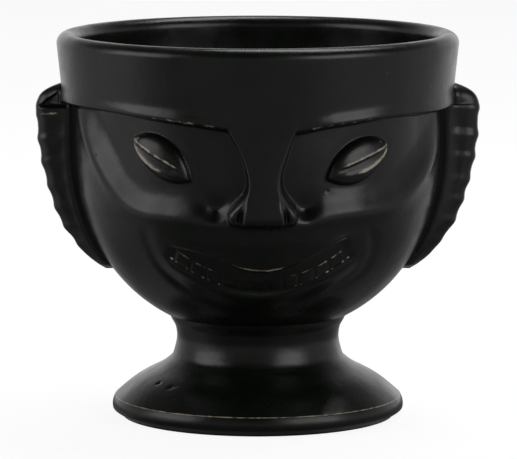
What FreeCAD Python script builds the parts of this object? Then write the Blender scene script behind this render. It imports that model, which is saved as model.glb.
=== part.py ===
import FreeCAD, Part
import math
import os

from FreeCAD import Vector

# Footed tiki mug: a ceramic head-shaped bowl on a flared hollow foot.
# Millimetres. +Z is up, the face looks along -Y, z = 0 is the surface that the mug stands on,
# and the Z axis is the axis of the turned bowl. "Left" and "right" are the viewer's.
# Every solid is one clay member. The members are luted face to face with slip, so they touch
# without a gap and without overlapping.

# ---- heights of the three turned members ------------------------------------------------
FOOT_HEIGHT = 28.3        # standing surface to the seat under the bowl
BOWL_HEIGHT = 59.1        # seat to the brow line
COLLAR_HEIGHT = 20.1      # brow line to the top of the rim

# ---- foot -------------------------------------------------------------------------------
SEAT_RADIUS = 24.7        # where the foot meets the bowl
NECK_RADIUS = 22.65       # narrowest part of the stem
NECK_BELOW_SEAT = 6.2
STEM_RADIUS = 24.6        # where the stem springs from the dome
STEM_BELOW_SEAT = 12.3
DOME_RADIUS = 33.3        # half-way down the dome
DOME_ABOVE_EDGE = 5.4
EDGE_RADIUS = 40.1        # crisp edge above the side band
EDGE_HEIGHT = 5.4
BAND_BULGE = 0.7          # how far the side band swells past the edge
TREAD_RADIUS = 38.2       # outside of the ring that touches the table
FOOT_WALL = 6.0           # clay thickness of the flared skirt
FOOT_TOP = 5.0            # clay left under the bowl

# ---- bowl -------------------------------------------------------------------------------
BOWL_RADIUS = 51.3        # outside, at the widest
WIDEST_BELOW_BROW = 9.4
BOWL_FULLNESS = 2.2       # exponent of the side curve: 2 is an ellipse, more is squarer
BOWL_WALL = 5.0
BOWL_FLOOR = 6.0

# ---- forehead collar and rim ------------------------------------------------------------
LAP = 5.0                 # height of the lap joint between collar and bowl
BROW_PROUD = 3.0          # overhang of the brow past the bowl
RIM_FLARE = 1.7           # the rim past the brow
RIM_WALL = 6.0
BROW_DIP = 3.4            # the brow line sinks this far towards the nose
BROW_DIP_HALF_WIDTH = 33.0
BROW_DIP_ACROSS = 1.8     # the face is set slightly off the axis, as the hand left it
BROW_DIP_HALF_WAY = 1.2   # the part of the dip that is reached half-way to the nose

# ---- eye basins and eyes ----------------------------------------------------------------
BASIN_DEPTH = 2.2
BASIN_INNER = 9.0         # from the middle of the nose
BASIN_OUTER = 50.0
BASIN_CORNER = 34.0       # where the lower edge begins to climb to the temple
BASIN_BEND = 43.0
BASIN_BEND_RISE = 8.0
BASIN_LOWER_RISE = 2.0    # climb of the lower edge from nose to corner
BASIN_FLOOR_SHARE = 0.45  # lower edge of the basins, as a share of the face below the brow
EYE_PROUD = 0.6           # eyelid over the general bowl surface
EYE_SHARE = 0.19          # height of the eyes, as a share of the face below the brow
LEFT_EYE_ACROSS = -25.1
LEFT_EYE_LENGTH = 20.2
LEFT_EYE_TILT = -34.0
RIGHT_EYE_ACROSS = 26.4
RIGHT_EYE_LENGTH = 20.4
RIGHT_EYE_TILT = 27.5
LID_UPPER_RISE = 6.0
LID_LOWER_RISE = 4.6

# ---- nose -------------------------------------------------------------------------------
NOSE_ACROSS = 1.8
NOSE_TIP_SHARE = 0.485    # underside of the nose, as a share of the face below the brow
NOSE_BRIDGE_SHARE = 0.28
NOSE_ROOT_HALF_WIDTH = 8.6
NOSE_BRIDGE_HALF_WIDTH = 5.0
NOSE_WING_HALF_WIDTH = 9.0
NOSE_WING_HEIGHT = 4.5    # height of the widest place over the underside
NOSE_TUCK = 1.0           # the wings draw in this far towards the underside
NOSE_FLANK = 2.6          # how far each flank slopes in from wall to front plane
NOSE_PROUD = 5.2          # nose tip past the bowl

# ---- mouth ------------------------------------------------------------------------------
MOUTH_ACROSS = 1.2
MOUTH_SHARE = 0.775       # middle of the teeth, as a share of the face below the brow
MOUTH_TILT = 1.0          # the grin climbs to the viewer's right
MOUTH_RADIUS = 36.0       # radius of the arc that the teeth follow
TOOTH_COUNT = 11
TOOTH_PITCH = 4.6
TOOTH_WIDTH = 4.0
TOOTH_HEIGHT = 4.1
TOOTH_PROUD = 1.0
LIP_CLEARANCE = 0.3       # between the lips and the teeth
LIP_PROUD = 2.0
LIP_CORNER_SHARE = 0.5    # height of a lip at its corners, as a share of its full height
LOWER_LIP_HEIGHT = 3.6
LOWER_LIP_HALF_ANGLE = 45.0
UPPER_LIP_HEIGHT = 4.0
UPPER_LIP_HALF_ANGLE = 43.0

# ---- ears -------------------------------------------------------------------------------
EAR_TOP_ABOVE_BROW = 7.0
EAR_BOTTOM_SHARE = 0.785  # lower end, as a share of the face below the brow
EAR_PROUD = 9.6           # past the bowl, before the crimps
EAR_THICKNESS = 9.0
EAR_LOBE_SHARE = 0.1      # the top lobe rounds over within this share of the ear's length
EAR_ROOT = 8.0            # how far the clay is taken in before it is trimmed to the wall
CRIMP_COUNT = 9
CRIMP_RISE = 1.5

# ---- derived heights --------------------------------------------------------------------
BROW_Z = FOOT_HEIGHT + BOWL_HEIGHT
LAP_TOP_Z = BROW_Z + LAP
RIM_Z = BROW_Z + COLLAR_HEIGHT
WIDEST_Z = BROW_Z - WIDEST_BELOW_BROW
RIM_RADIUS = BOWL_RADIUS + BROW_PROUD + RIM_FLARE
RIM_ROUND = RIM_WALL / 2.0
REACH = 2.0 * RIM_RADIUS  # long enough to pass through any wall


def face_z(share):
    """Height at a share of the way from the brow line down to the seat."""
    return BROW_Z - share * BOWL_HEIGHT


# ---- turned shapes ----------------------------------------------------------------------
def turned(edges):
    """Revolve a closed chain of edges in the XZ half-plane about the Z axis."""
    wire = Part.Wire(Part.__sortEdges__(edges))
    return Part.Face(wire).revolve(Vector(0, 0, 0), Vector(0, 0, 1), 360)


def line(start, end):
    return Part.LineSegment(Vector(start[0], 0, start[1]), Vector(end[0], 0, end[1])).toShape()


def smooth(points):
    """One smooth curve through (radius, height) points."""
    curve = Part.BSplineCurve()
    curve.interpolate([Vector(r, 0, z) for r, z in points])
    return curve.toShape()


def arc(start, middle, end):
    corners = [Vector(r, 0, z) for r, z in (start, middle, end)]
    return Part.Arc(*corners).toShape()


# The side of the bowl is a superellipse from the widest place down to the seat.
SIDE_DEPTH = (WIDEST_Z - FOOT_HEIGHT) / (
    1.0 - (SEAT_RADIUS / BOWL_RADIUS) ** BOWL_FULLNESS
) ** (1.0 / BOWL_FULLNESS)


def side_point(drop, offset):
    """Point of the side curve at a drop below the widest place, moved along its normal."""
    n = BOWL_FULLNESS
    radius = BOWL_RADIUS * (1.0 - (drop / SIDE_DEPTH) ** n) ** (1.0 / n)
    out = (radius / BOWL_RADIUS) ** (n - 1.0) / BOWL_RADIUS
    down = (drop / SIDE_DEPTH) ** (n - 1.0) / SIDE_DEPTH
    length = math.hypot(out, down)
    return radius + offset * out / length, WIDEST_Z - drop - offset * down / length


def side_curve(offset, lowest_z, steps=14):
    """Points of the offset side curve from the widest place down to a height."""
    low, high = 0.0, SIDE_DEPTH * 0.999
    for _ in range(50):
        middle = (low + high) / 2.0
        if side_point(middle, offset)[1] > lowest_z:
            low = middle
        else:
            high = middle
    return [side_point(low * i / steps, offset) for i in range(steps + 1)]


def core(offset, top_z):
    """Filled bowl whose skin lies a little outside or inside the real one."""
    points = side_curve(offset, FOOT_HEIGHT)
    seat, wide = points[-1], points[0]
    return turned([
        smooth(points),
        line(wide, (wide[0], top_z)),
        line((wide[0], top_z), (0, top_z)),
        line((0, top_z), (0, seat[1])),
        line((0, seat[1]), seat),
    ])


def collar_outer(z):
    """Outside radius of the collar: it flares evenly from the brow to the rim."""
    share = (z - BROW_Z) / (RIM_Z - RIM_ROUND - BROW_Z)
    return BOWL_RADIUS + BROW_PROUD + share * RIM_FLARE


def cavity():
    """The space that holds the drink, from the floor up to the lap joint."""
    floor_z = FOOT_HEIGHT + BOWL_FLOOR
    points = side_curve(-BOWL_WALL, floor_z)
    return turned([
        smooth(points),
        line(points[0], (points[0][0], LAP_TOP_Z)),
        line((points[0][0], LAP_TOP_Z), (0, LAP_TOP_Z)),
        line((0, LAP_TOP_Z), (0, points[-1][1])),
        line((0, points[-1][1]), points[-1]),
    ])


# ---- outlines cut through the face, drawn in the XZ plane -------------------------------
def prism(edges):
    """Run a closed outline from the middle of the bowl out past the face."""
    wire = Part.Wire(Part.__sortEdges__(edges))
    return Part.Face(wire).extrude(Vector(0, -REACH, 0))


def applique(outline, proud, wall):
    """A slab of clay with this outline, bedded on the wall and standing proud of the bowl."""
    return prism(outline).common(core(proud, LAP_TOP_Z)).cut(wall)


def main_solid(shape):
    """The largest solid of a boolean result."""
    return max(shape.Solids, key=lambda solid: solid.Volume)


def basin(side):
    """Outline of the recess round one eye; side is -1 on the left and +1 on the right."""
    def at(across, z):
        return NOSE_ACROSS + side * across, z

    floor_z = face_z(BASIN_FLOOR_SHARE)
    inner_low = at(BASIN_INNER, floor_z)
    inner_high = at(BASIN_INNER, BROW_Z)
    outer_low = at(BASIN_CORNER, floor_z + BASIN_LOWER_RISE)
    outer_high = at(BASIN_OUTER, BROW_Z)
    bend = at(BASIN_BEND, floor_z + BASIN_BEND_RISE)
    return [
        line(inner_high, inner_low),
        line(inner_low, outer_low),
        arc(outer_low, bend, outer_high),
        line(outer_high, inner_high),
    ]


def leaf(across, length, tilt):
    """Outline of an eye: two arcs that meet in points at its corners."""
    turn = math.radians(tilt)
    centre_z = face_z(EYE_SHARE)

    def at(along, up):
        x = across + along * math.cos(turn) - up * math.sin(turn)
        return x, centre_z + along * math.sin(turn) + up * math.cos(turn)

    ends = at(-length / 2.0, 0), at(length / 2.0, 0)
    return [
        arc(ends[0], at(0, LID_UPPER_RISE), ends[1]),
        arc(ends[0], at(0, -LID_LOWER_RISE), ends[1]),
    ]


def mouth_point(angle, outward):
    """Point at an angle along the grin, moved outward (down) from the middle of the teeth."""
    turn = math.radians(angle + MOUTH_TILT)
    radius = MOUTH_RADIUS + outward
    centre_z = face_z(MOUTH_SHARE) + MOUTH_RADIUS
    return MOUTH_ACROSS + radius * math.sin(turn), centre_z - radius * math.cos(turn)


def crescent(inner, outer, half_angle):
    """A band along the grin that narrows towards its corners."""
    narrowed = inner + LIP_CORNER_SHARE * (outer - inner)
    angles = -half_angle, 0.0, half_angle
    outer_edge = [mouth_point(a, drop) for a, drop in zip(angles, (narrowed, outer, narrowed))]
    inner_edge = [mouth_point(a, inner) for a in angles]
    return [
        arc(*outer_edge),
        arc(*inner_edge),
        line(outer_edge[0], inner_edge[0]),
        line(outer_edge[2], inner_edge[2]),
    ]


def brow_cut():
    """Everything under the brow line, which dips to a blunt point over the nose."""
    middle = BROW_DIP_ACROSS
    low_z = BROW_Z - BROW_DIP
    left = (middle - BROW_DIP_HALF_WIDTH, BROW_Z)
    right = (middle + BROW_DIP_HALF_WIDTH, BROW_Z)
    half_way = BROW_DIP_HALF_WIDTH / 2.0
    half_way_z = BROW_Z - BROW_DIP_HALF_WAY
    root = NOSE_ROOT_HALF_WIDTH
    return prism([
        line((-REACH, BROW_Z), left),
        arc(left, (middle - half_way, half_way_z), (middle - root, low_z)),
        line((middle - root, low_z), (middle + root, low_z)),
        arc((middle + root, low_z), (middle + half_way, half_way_z), right),
        line(right, (REACH, BROW_Z)),
        line((REACH, BROW_Z), (REACH, 0)),
        line((REACH, 0), (-REACH, 0)),
        line((-REACH, 0), (-REACH, BROW_Z)),
    ])


# ---- the clay members -------------------------------------------------------------------
def make_foot():
    edge = (EDGE_RADIUS, EDGE_HEIGHT)
    stem = (STEM_RADIUS, FOOT_HEIGHT - STEM_BELOW_SEAT)
    neck = (NECK_RADIUS, FOOT_HEIGHT - NECK_BELOW_SEAT)
    seat = (SEAT_RADIUS, FOOT_HEIGHT)
    dome = (DOME_RADIUS, EDGE_HEIGHT + DOME_ABOVE_EDGE)
    tread = (TREAD_RADIUS, 0)
    band = (EDGE_RADIUS + BAND_BULGE, EDGE_HEIGHT / 2.0)
    inner_tread = (TREAD_RADIUS - FOOT_WALL, 0)
    inner_dome = (DOME_RADIUS - FOOT_WALL, EDGE_HEIGHT)
    inner_stem = (NECK_RADIUS - FOOT_WALL, FOOT_HEIGHT - NECK_BELOW_SEAT - FOOT_TOP)
    inner_top = (inner_stem[0], FOOT_HEIGHT - FOOT_TOP)
    return turned([
        arc(seat, neck, stem),
        arc(stem, dome, edge),
        arc(edge, band, tread),
        line(tread, inner_tread),
        arc(inner_tread, inner_dome, inner_stem),
        line(inner_stem, inner_top),
        line(inner_top, (0, inner_top[1])),
        line((0, inner_top[1]), (0, FOOT_HEIGHT)),
        line((0, FOOT_HEIGHT), seat),
    ])


def make_collar(bowl_core):
    """The forehead: a thick ring with a skirt that laps over the top of the bowl."""
    bowl_inner = BOWL_RADIUS - BOWL_WALL
    rim_inner = RIM_RADIUS - RIM_WALL
    rim_low = RIM_Z - RIM_ROUND
    skirt_z = BROW_Z - BROW_DIP
    ring = turned([
        line((bowl_inner, skirt_z), (bowl_inner, LAP_TOP_Z)),
        line((bowl_inner, LAP_TOP_Z), (rim_inner, rim_low)),
        arc((rim_inner, rim_low), (RIM_RADIUS - RIM_ROUND, RIM_Z), (RIM_RADIUS, rim_low)),
        line((RIM_RADIUS, rim_low), (collar_outer(skirt_z), skirt_z)),
        line((collar_outer(skirt_z), skirt_z), (bowl_inner, skirt_z)),
    ])
    behind = Part.makeBox(2 * REACH, REACH, REACH, Vector(-REACH, 0, BROW_Z - REACH))
    return main_solid(ring.cut(brow_cut()).cut(behind).cut(bowl_core))


def make_nose(bowl_core, collar):
    """A loft from the wall out to the flat front plane, with sloping flanks."""
    tip_z = face_z(NOSE_TIP_SHARE)
    bridge_z = face_z(NOSE_BRIDGE_SHARE)
    root_z = BROW_Z - BROW_DIP
    wing_z = tip_z + NOSE_WING_HEIGHT
    tip_radius = side_point(WIDEST_Z - tip_z, NOSE_PROUD)[0]
    root_radius = collar_outer(root_z)
    start_radius = side_point(WIDEST_Z - tip_z, -BOWL_WALL)[0]

    def outline(inset, front):
        levels = [
            (NOSE_ROOT_HALF_WIDTH - inset, root_z),
            (NOSE_BRIDGE_HALF_WIDTH - inset, bridge_z),
            (NOSE_WING_HALF_WIDTH - inset, wing_z),
            (NOSE_WING_HALF_WIDTH - inset - NOSE_TUCK, tip_z),
        ]

        def corner(side, half_width, z):
            share = (root_z - z) / (root_z - tip_z)
            plane = root_radius + share * (tip_radius - root_radius)
            return Vector(NOSE_ACROSS + side * half_width, -plane if front else -start_radius, z)

        ring = [corner(1, *level) for level in levels]
        ring += [corner(-1, *level) for level in reversed(levels)]
        return Part.makePolygon(ring + ring[:1])

    wedge = Part.makeLoft([outline(0.0, False), outline(NOSE_FLANK, True)], True, True)
    return main_solid(wedge.cut(bowl_core).cut(collar))


def make_teeth(bowl_core):
    """A row of flat pegs that follows the grin."""
    teeth = []
    pitch_angle = math.degrees(TOOTH_PITCH / MOUTH_RADIUS)
    half_width_angle = math.degrees(TOOTH_WIDTH / 2.0 / MOUTH_RADIUS)
    for index in range(TOOTH_COUNT):
        angle = (index - (TOOTH_COUNT - 1) / 2.0) * pitch_angle
        corners = [
            mouth_point(angle + side * half_width_angle, end * TOOTH_HEIGHT / 2.0)
            for side, end in ((-1, -1), (1, -1), (1, 1), (-1, 1))
        ]
        outline = [line(corners[i], corners[(i + 1) % 4]) for i in range(4)]
        teeth.append(main_solid(applique(outline, TOOTH_PROUD, bowl_core)))
    return Part.makeCompound(teeth)


def make_lip(bowl_core, nose, sign, height, half_angle):
    """A lip above (sign -1) or below (sign +1) the row of teeth."""
    near = sign * (TOOTH_HEIGHT / 2.0 + LIP_CLEARANCE)
    outline = crescent(near, near + sign * height, half_angle)
    return main_solid(applique(outline, LIP_PROUD, bowl_core).cut(nose))


def make_ear(side, bowl_core, collar):
    """A crimped flange up the side of the head; its edge is a row of shallow lobes."""
    top_z = BROW_Z + EAR_TOP_ABOVE_BROW
    bottom_z = face_z(EAR_BOTTOM_SHARE)
    length = top_z - bottom_z

    def edge_point(share, rise):
        z = top_z - share * length
        drop = max(WIDEST_Z - z, 0.0)
        lobe = min(1.0, math.sqrt(share / EAR_LOBE_SHARE))
        reach = EAR_PROUD * math.sqrt(1.0 - share ** 3) * lobe
        return side * (side_point(drop, 0.0)[0] + reach + rise), z

    edges = []
    for index in range(CRIMP_COUNT):
        first = index / CRIMP_COUNT
        last = (index + 1) / CRIMP_COUNT
        start = edge_point(first, 0.0)
        end = edge_point(last, 0.0)
        edges.append(arc(start, edge_point((first + last) / 2.0, CRIMP_RISE), end))
    upper = edge_point(0.0, 0.0)
    lower = edge_point(1.0, 0.0)
    inner_x = side * (side_point(WIDEST_Z - bottom_z, 0.0)[0] - EAR_ROOT)
    edges.append(line(lower, (inner_x, lower[1])))
    edges.append(line((inner_x, lower[1]), (inner_x, upper[1])))
    edges.append(line((inner_x, upper[1]), upper))
    flange = Part.Face(Part.Wire(Part.__sortEdges__(edges))).extrude(Vector(0, EAR_THICKNESS, 0))
    flange.translate(Vector(0, -EAR_THICKNESS / 2.0, 0))
    inside_collar = Part.makeCylinder(BOWL_RADIUS, RIM_Z - LAP_TOP_Z, Vector(0, 0, LAP_TOP_Z))
    return main_solid(flange.cut(bowl_core).cut(collar).cut(inside_collar))


def make_mug():
    bowl_core = core(0.0, LAP_TOP_Z)
    sunk_core = core(-BASIN_DEPTH, LAP_TOP_Z + BASIN_DEPTH)
    for side in (-1, 1):
        bowl_core = bowl_core.cut(prism(basin(side)).cut(sunk_core))
    bowl_core = main_solid(bowl_core)
    collar = make_collar(bowl_core)
    nose = make_nose(bowl_core, collar)
    left_leaf = leaf(LEFT_EYE_ACROSS, LEFT_EYE_LENGTH, LEFT_EYE_TILT)
    right_leaf = leaf(RIGHT_EYE_ACROSS, RIGHT_EYE_LENGTH, RIGHT_EYE_TILT)
    return {
        "pedestal_foot": make_foot(),
        "cup_bowl": main_solid(bowl_core.cut(cavity())),
        "forehead_collar": collar,
        "nose": nose,
        "left_eye": main_solid(applique(left_leaf, EYE_PROUD, bowl_core)),
        "right_eye": main_solid(applique(right_leaf, EYE_PROUD, bowl_core)),
        "upper_lip": make_lip(bowl_core, nose, -1, UPPER_LIP_HEIGHT, UPPER_LIP_HALF_ANGLE),
        "lower_lip": make_lip(bowl_core, nose, 1, LOWER_LIP_HEIGHT, LOWER_LIP_HALF_ANGLE),
        "teeth": make_teeth(bowl_core),
        "left_ear": make_ear(-1, bowl_core, collar),
        "right_ear": make_ear(1, bowl_core, collar),
    }


os.makedirs("parts", exist_ok=True)
for name, shape in make_mug().items():
    box = shape.BoundBox
    print(
        f"{name}: {len(shape.Solids)} solid(s), valid {shape.isValid()}, {shape.Volume / 1000:.2f} cm3,"
        f" x {box.XMin:.2f}..{box.XMax:.2f} y {box.YMin:.2f}..{box.YMax:.2f}"
        f" z {box.ZMin:.2f}..{box.ZMax:.2f}"
    )
    shape.exportStep(f"parts/{name}.step")
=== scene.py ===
import math

import bpy
import numpy as np
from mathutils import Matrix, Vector


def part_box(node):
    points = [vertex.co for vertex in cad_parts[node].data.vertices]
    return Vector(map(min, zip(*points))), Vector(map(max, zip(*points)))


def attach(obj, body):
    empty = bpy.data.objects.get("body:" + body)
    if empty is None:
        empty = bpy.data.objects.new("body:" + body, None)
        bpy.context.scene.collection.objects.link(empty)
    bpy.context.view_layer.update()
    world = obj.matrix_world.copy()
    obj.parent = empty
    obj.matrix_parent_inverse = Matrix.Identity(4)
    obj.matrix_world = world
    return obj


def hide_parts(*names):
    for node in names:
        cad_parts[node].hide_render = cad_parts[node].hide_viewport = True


# Looks of a footed tiki mug in satin black glaze. The shapes are worked out in millimetres, in the
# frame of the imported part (+Z up, the face looks along -Y), and written to Blender in metres.
# "u" is the distance round the bowl from the -Y direction, measured on a cylinder of the bowl's
# radius, and "z" is the height. "s" and "v" are the distance along the arc of the mouth and the
# distance out (down) from it. Left and right are the viewer's.

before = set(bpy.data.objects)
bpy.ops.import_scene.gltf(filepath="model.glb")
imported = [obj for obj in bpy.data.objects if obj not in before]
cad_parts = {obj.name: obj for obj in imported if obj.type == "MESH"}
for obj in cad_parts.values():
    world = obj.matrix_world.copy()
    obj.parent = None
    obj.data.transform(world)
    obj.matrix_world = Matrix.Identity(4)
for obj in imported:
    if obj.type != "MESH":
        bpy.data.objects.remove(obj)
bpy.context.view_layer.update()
MM = 0.001


def box_mm(node):
    low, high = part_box(node)
    return [c / MM for c in low], [c / MM for c in high]


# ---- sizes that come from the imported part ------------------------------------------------
BOWL_LOW, BOWL_HIGH = box_mm("cup_bowl")
COLLAR_HIGH = box_mm("forehead_collar")[1]
EAR_LOW, EAR_HIGH = box_mm("right_ear")

BOWL_RADIUS = BOWL_HIGH[0]
SEAT_Z = BOWL_LOW[2]
LAP_Z = BOWL_HIGH[2]
RIM_Z = COLLAR_HIGH[2]
RIM_RADIUS = COLLAR_HIGH[0]
LAP_DEPTH = 5.0                 # the collar laps this far over the top of the bowl
BROW_Z = LAP_Z - LAP_DEPTH
NOSE_TIP_Z = box_mm("nose")[0][2]

# ---- sizes of the finished surface -------------------------------------------------------
SEAT_RADIUS = 24.7              # where the foot meets the bowl
BOWL_WALL = 5.0
BOWL_FLOOR = 6.0
RIM_WALL = 6.0
WIDEST_Z = BROW_Z - 9.4
BOWL_FULLNESS = 2.2             # exponent of the side curve: 2 is an ellipse, more is squarer
CAVITY_FULLNESS = 2.6
FOREHEAD_Z = 88.0
FOREHEAD_PROUD = 3.0            # how far the forehead stands off the bowl at FOREHEAD_Z
FOREHEAD_FLARE = 0.105          # and how much further out it leans for each millimetre up
BASIN_DEPTH = 2.5               # of the hollows that the eyes lie in
EYE_HEIGHT = 2.8                # of an eye over the floor of its basin
BED_DEPTH = 1.2                 # most that a clay piece reaches down from its face to its bed
PIT_DEPTH = 0.30
POLE_RADIUS = 0.5               # of the smallest ring, next to the axis


# ---- small numeric helpers ---------------------------------------------------------------
def smooth(x, low, high):
    """0 below low, 1 above high, and an even S-curve between."""
    t = np.clip((x - low) / (high - low), 0.0, 1.0)
    return t * t * (3.0 - 2.0 * t)


def bell(x, width):
    return np.exp(-((x / width) ** 2))


def soft_max(a, b, blend):
    t = np.clip(0.5 + 0.5 * (a - b) / blend, 0.0, 1.0)
    return b + (a - b) * t + blend * t * (1.0 - t)


def through(points, at):
    """A smooth curve through a few (position, value) points, flat beyond its ends."""
    points = sorted(points)
    x = np.array([p[0] for p in points])
    y = np.array([p[1] for p in points])
    slope = np.gradient(y, x)
    at = np.clip(at, x[0], x[-1])
    i = np.clip(np.searchsorted(x, at) - 1, 0, len(x) - 2)
    step = x[i + 1] - x[i]
    t = (at - x[i]) / step
    start = (1 + 2 * t) * (1 - t) ** 2 * y[i] + t * (1 - t) ** 2 * step * slope[i]
    end = t * t * (3 - 2 * t) * y[i + 1] + t * t * (t - 1) * step * slope[i + 1]
    return start + end


# ---- the surface of the head -------------------------------------------------------------
SIDE_DEPTH = (WIDEST_Z - SEAT_Z) / (
    1.0 - (SEAT_RADIUS / BOWL_RADIUS) ** BOWL_FULLNESS
) ** (1.0 / BOWL_FULLNESS)


def bowl_radius(z):
    """The plain turned bowl: upright above its widest place, a superellipse below."""
    drop = np.clip((WIDEST_Z - z) / SIDE_DEPTH, 0.0, 0.9999)
    return BOWL_RADIUS * (1.0 - drop ** BOWL_FULLNESS) ** (1.0 / BOWL_FULLNESS)


def inner_radius(z):
    """Inside of the wall: upright under the rim, then drawn in to the wall of the bowl."""
    inner_rim = RIM_RADIUS - RIM_WALL
    inner_bowl = BOWL_RADIUS - BOWL_WALL
    return inner_bowl + (inner_rim - inner_bowl) * smooth(z, 64.0, 101.0)


def brow_line(u):
    """Height of the foot of the brow ledge."""
    return through([
        (-150, 86.8), (-110, 86.9), (-75, 87.3), (-42, 87.7), (-31, 86.9), (-22, 86.2), (-13.8, 85.3),
        (-9, 84.6), (-4, 83.9), (2, 83.6), (8, 83.4), (12, 83.9), (18.3, 85), (28.2, 86), (39.7, 86.9),
        (58.5, 86.4), (75, 86.6), (110, 86.8), (150, 86.8),
    ], u)


# The nose, as (height, distance round): the foot of each flank, and the edge of its flat front.
NOSE_LINES = {
    "left_foot": [
        (86, -9.4), (83, -7.8), (80.3, -5.9), (74.4, -3.7), (70.8, -3.4), (68.1, -4.4), (65.3, -6.8),
        (62.5, -8.2), (60, -7.8), (58, -6.0),
    ],
    "left_edge": [
        (86, -7.2), (80, -4.3), (74, -2.3), (70.8, -1.9), (67.8, -2.4), (65.1, -3.1), (62.8, -3.6),
        (60.1, -3.8), (58, -3.4),
    ],
    "right_edge": [
        (86, 9.7), (78.8, 7.0), (73.2, 5.3), (70.8, 5.1), (67.8, 5.5), (65, 6.1), (62.8, 6.6),
        (60.6, 6.8), (58, 6.4),
    ],
    "right_foot": [
        (86, 12.0), (82, 10.0), (78.3, 8.7), (72.1, 7.2), (69.4, 7.7), (67.2, 8.9), (64.4, 10.5),
        (62.2, 10.9), (59.8, 10.4), (58, 8.8),
    ],
}
NOSE_MIDDLE = 2.0               # u of the nose where it meets the brow
NOSE_HEIGHTS = [                # (height, how far the flat front stands off the bowl)
    (58.0, 4.6), (59.5, 5.6), (61.5, 6.1), (63.5, 5.7), (66.0, 4.8), (70.0, 4.0), (76.0, 3.3),
    (82.0, 2.95), (90.0, 3.0),
]
WING_Z = 61.8                   # height of the nostril wings
POCKETS = (-12.0, 13.6)         # u of the steep pockets beside the wings
PITS = [(-12.4, 87.1), (20.3, 68.4)]   # pinholes in the glaze, as (u, z)

CHEEK_RIDGE_LEFT = [
    (-75, 93), (-63.1, 83.2), (-54, 75), (-45.5, 66.5), (-41.1, 63.2), (-35.9, 61.3), (-28.9, 60.7),
    (-13.5, 60.4), (0, 59.8),
]
CHEEK_RIDGE_RIGHT = [
    (5, 60.2), (16.3, 60.7), (26.9, 61.8), (35.5, 62.2), (43.3, 63.3), (54.5, 69.1), (68.1, 77.6),
    (75, 83),
]

# Each eye is a leaf: where it is, how it leans, and how far it reaches each way.
EYES = {
    "left_eye": dict(u=-28.9, z=76.5, half=11.2, tilt=-30.0, upper=5.9, lower=4.9, side=-1),
    "right_eye": dict(u=30.2, z=75.9, half=11.5, tilt=22.5, upper=5.9, lower=5.6, side=1),
}

# The teeth lie on an arc about a point on the brow.
MOUTH_U = 0.8
MOUTH_CENTRE_Z = 89.8
MOUTH_RADIUS = 47.8
MOUTH_HALF = 31.5               # half the length of the grin, along the arc
TOOTH_PITCH = 5.18
TOOTH_COUNT = 11
TOOTH_GAP = 0.5
TOOTH_HALF_HEIGHT = 2.1
TEETH_V = -0.1                  # v of the middle of the teeth
UPPER_LIP_HEIGHT = 2.6
LOWER_LIP = (2.9, 6.4)          # v of its two edges
UPPER_LIP_EDGE = [
    (-36, 55.0), (-30, 53.4), (-22, 52.2), (-15, 50.9), (-11.2, 49.6), (-5.6, 47.4), (-0.6, 46.5),
    (2.5, 46.4), (7.1, 47.0), (14.1, 49.2), (20.6, 52.6), (24.1, 54.2), (29.4, 55.2), (33, 54.8),
    (38, 53.0),
]
SMILE_LEFT = [(60.0, -33.0), (56.2, -35.0), (51.1, -34.6), (45.4, -32.6), (41.0, -28.5), (37.0, -22.0)]
SMILE_RIGHT = [(60.0, 33.0), (55.2, 36.2), (49.1, 38.5), (44.1, 37.0), (40.0, 31.0), (37.0, 24.0)]


def eye_shape(u, z, eye):
    """Place in an eye's own axes, a from temple to nose and b up, and distance inside its outline."""
    turn = math.radians(eye["tilt"])
    across, up = u - eye["u"], z - eye["z"]
    a = across * math.cos(turn) + up * math.sin(turn)
    b = -across * math.sin(turn) + up * math.cos(turn)
    half, upper, lower = eye["half"], eye["upper"], eye["lower"]
    upper_radius = (half ** 2 + upper ** 2) / (2 * upper)
    lower_radius = (half ** 2 + lower ** 2) / (2 * lower)
    from_upper = upper_radius - np.hypot(a, b - upper + upper_radius)
    from_lower = lower_radius - np.hypot(a, b + lower - lower_radius)
    return a * -eye["side"], b, np.minimum(from_upper, from_lower)


def eye_slit(a):
    """The line where the two lids meet, in an eye's own axes."""
    return 0.8 + 0.07 * a


def eye_lid(a):
    """The crest of the lower lid, in an eye's own axes."""
    return -2.5 + 0.02 * (a + 1.0) ** 2


def eye_relief(u, z, eye):
    """Height of an eye over the floor of its basin: two closed lids with a slit between them."""
    a, b, inside = eye_shape(u, z, eye)
    edge = np.clip(inside / 5.4, 0.0, 1.0)
    pillow = EYE_HEIGHT * np.sqrt(np.clip(1.0 - (1.0 - edge) ** 2, 0.0, 1.0))
    slit, lid = eye_slit(a), eye_lid(a)
    along = smooth(a, -10.5, -8.5) * (1.0 - smooth(a, 5.0, 8.5))
    below = slit - b
    span = np.maximum(slit - lid, 0.8)
    groove = smooth(below, 0.0, 0.6) * (1.0 - np.clip(below / span, 0.0, 1.0))
    pillow = pillow - 0.75 * groove * along
    pillow = pillow + 0.16 * bell(b - slit - 0.2, 0.5) * along
    pillow = pillow + 0.30 * bell(b - lid, 0.8) * along
    return pillow * smooth(inside, -0.2, 0.5) - 0.12 * bell(inside + 0.5, 1.2)


def mouth_coordinates(u, z):
    """Distance along the arc of the mouth, and distance out (down) from it."""
    across = u - MOUTH_U
    down = MOUTH_CENTRE_Z - z
    return MOUTH_RADIUS * np.arctan2(across, down), np.hypot(across, down) - MOUTH_RADIUS


def tooth_shape(s, v):
    """Distance inside the nearest tooth of the row (positive inside)."""
    last = (TOOTH_COUNT - 1) // 2
    index = np.clip(np.round(s / TOOTH_PITCH), -last, last)
    local = np.abs(s - index * TOOTH_PITCH)
    return np.minimum((TOOTH_PITCH - TOOTH_GAP) / 2.0 - local, TOOTH_HALF_HEIGHT - np.abs(v - TEETH_V))


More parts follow.
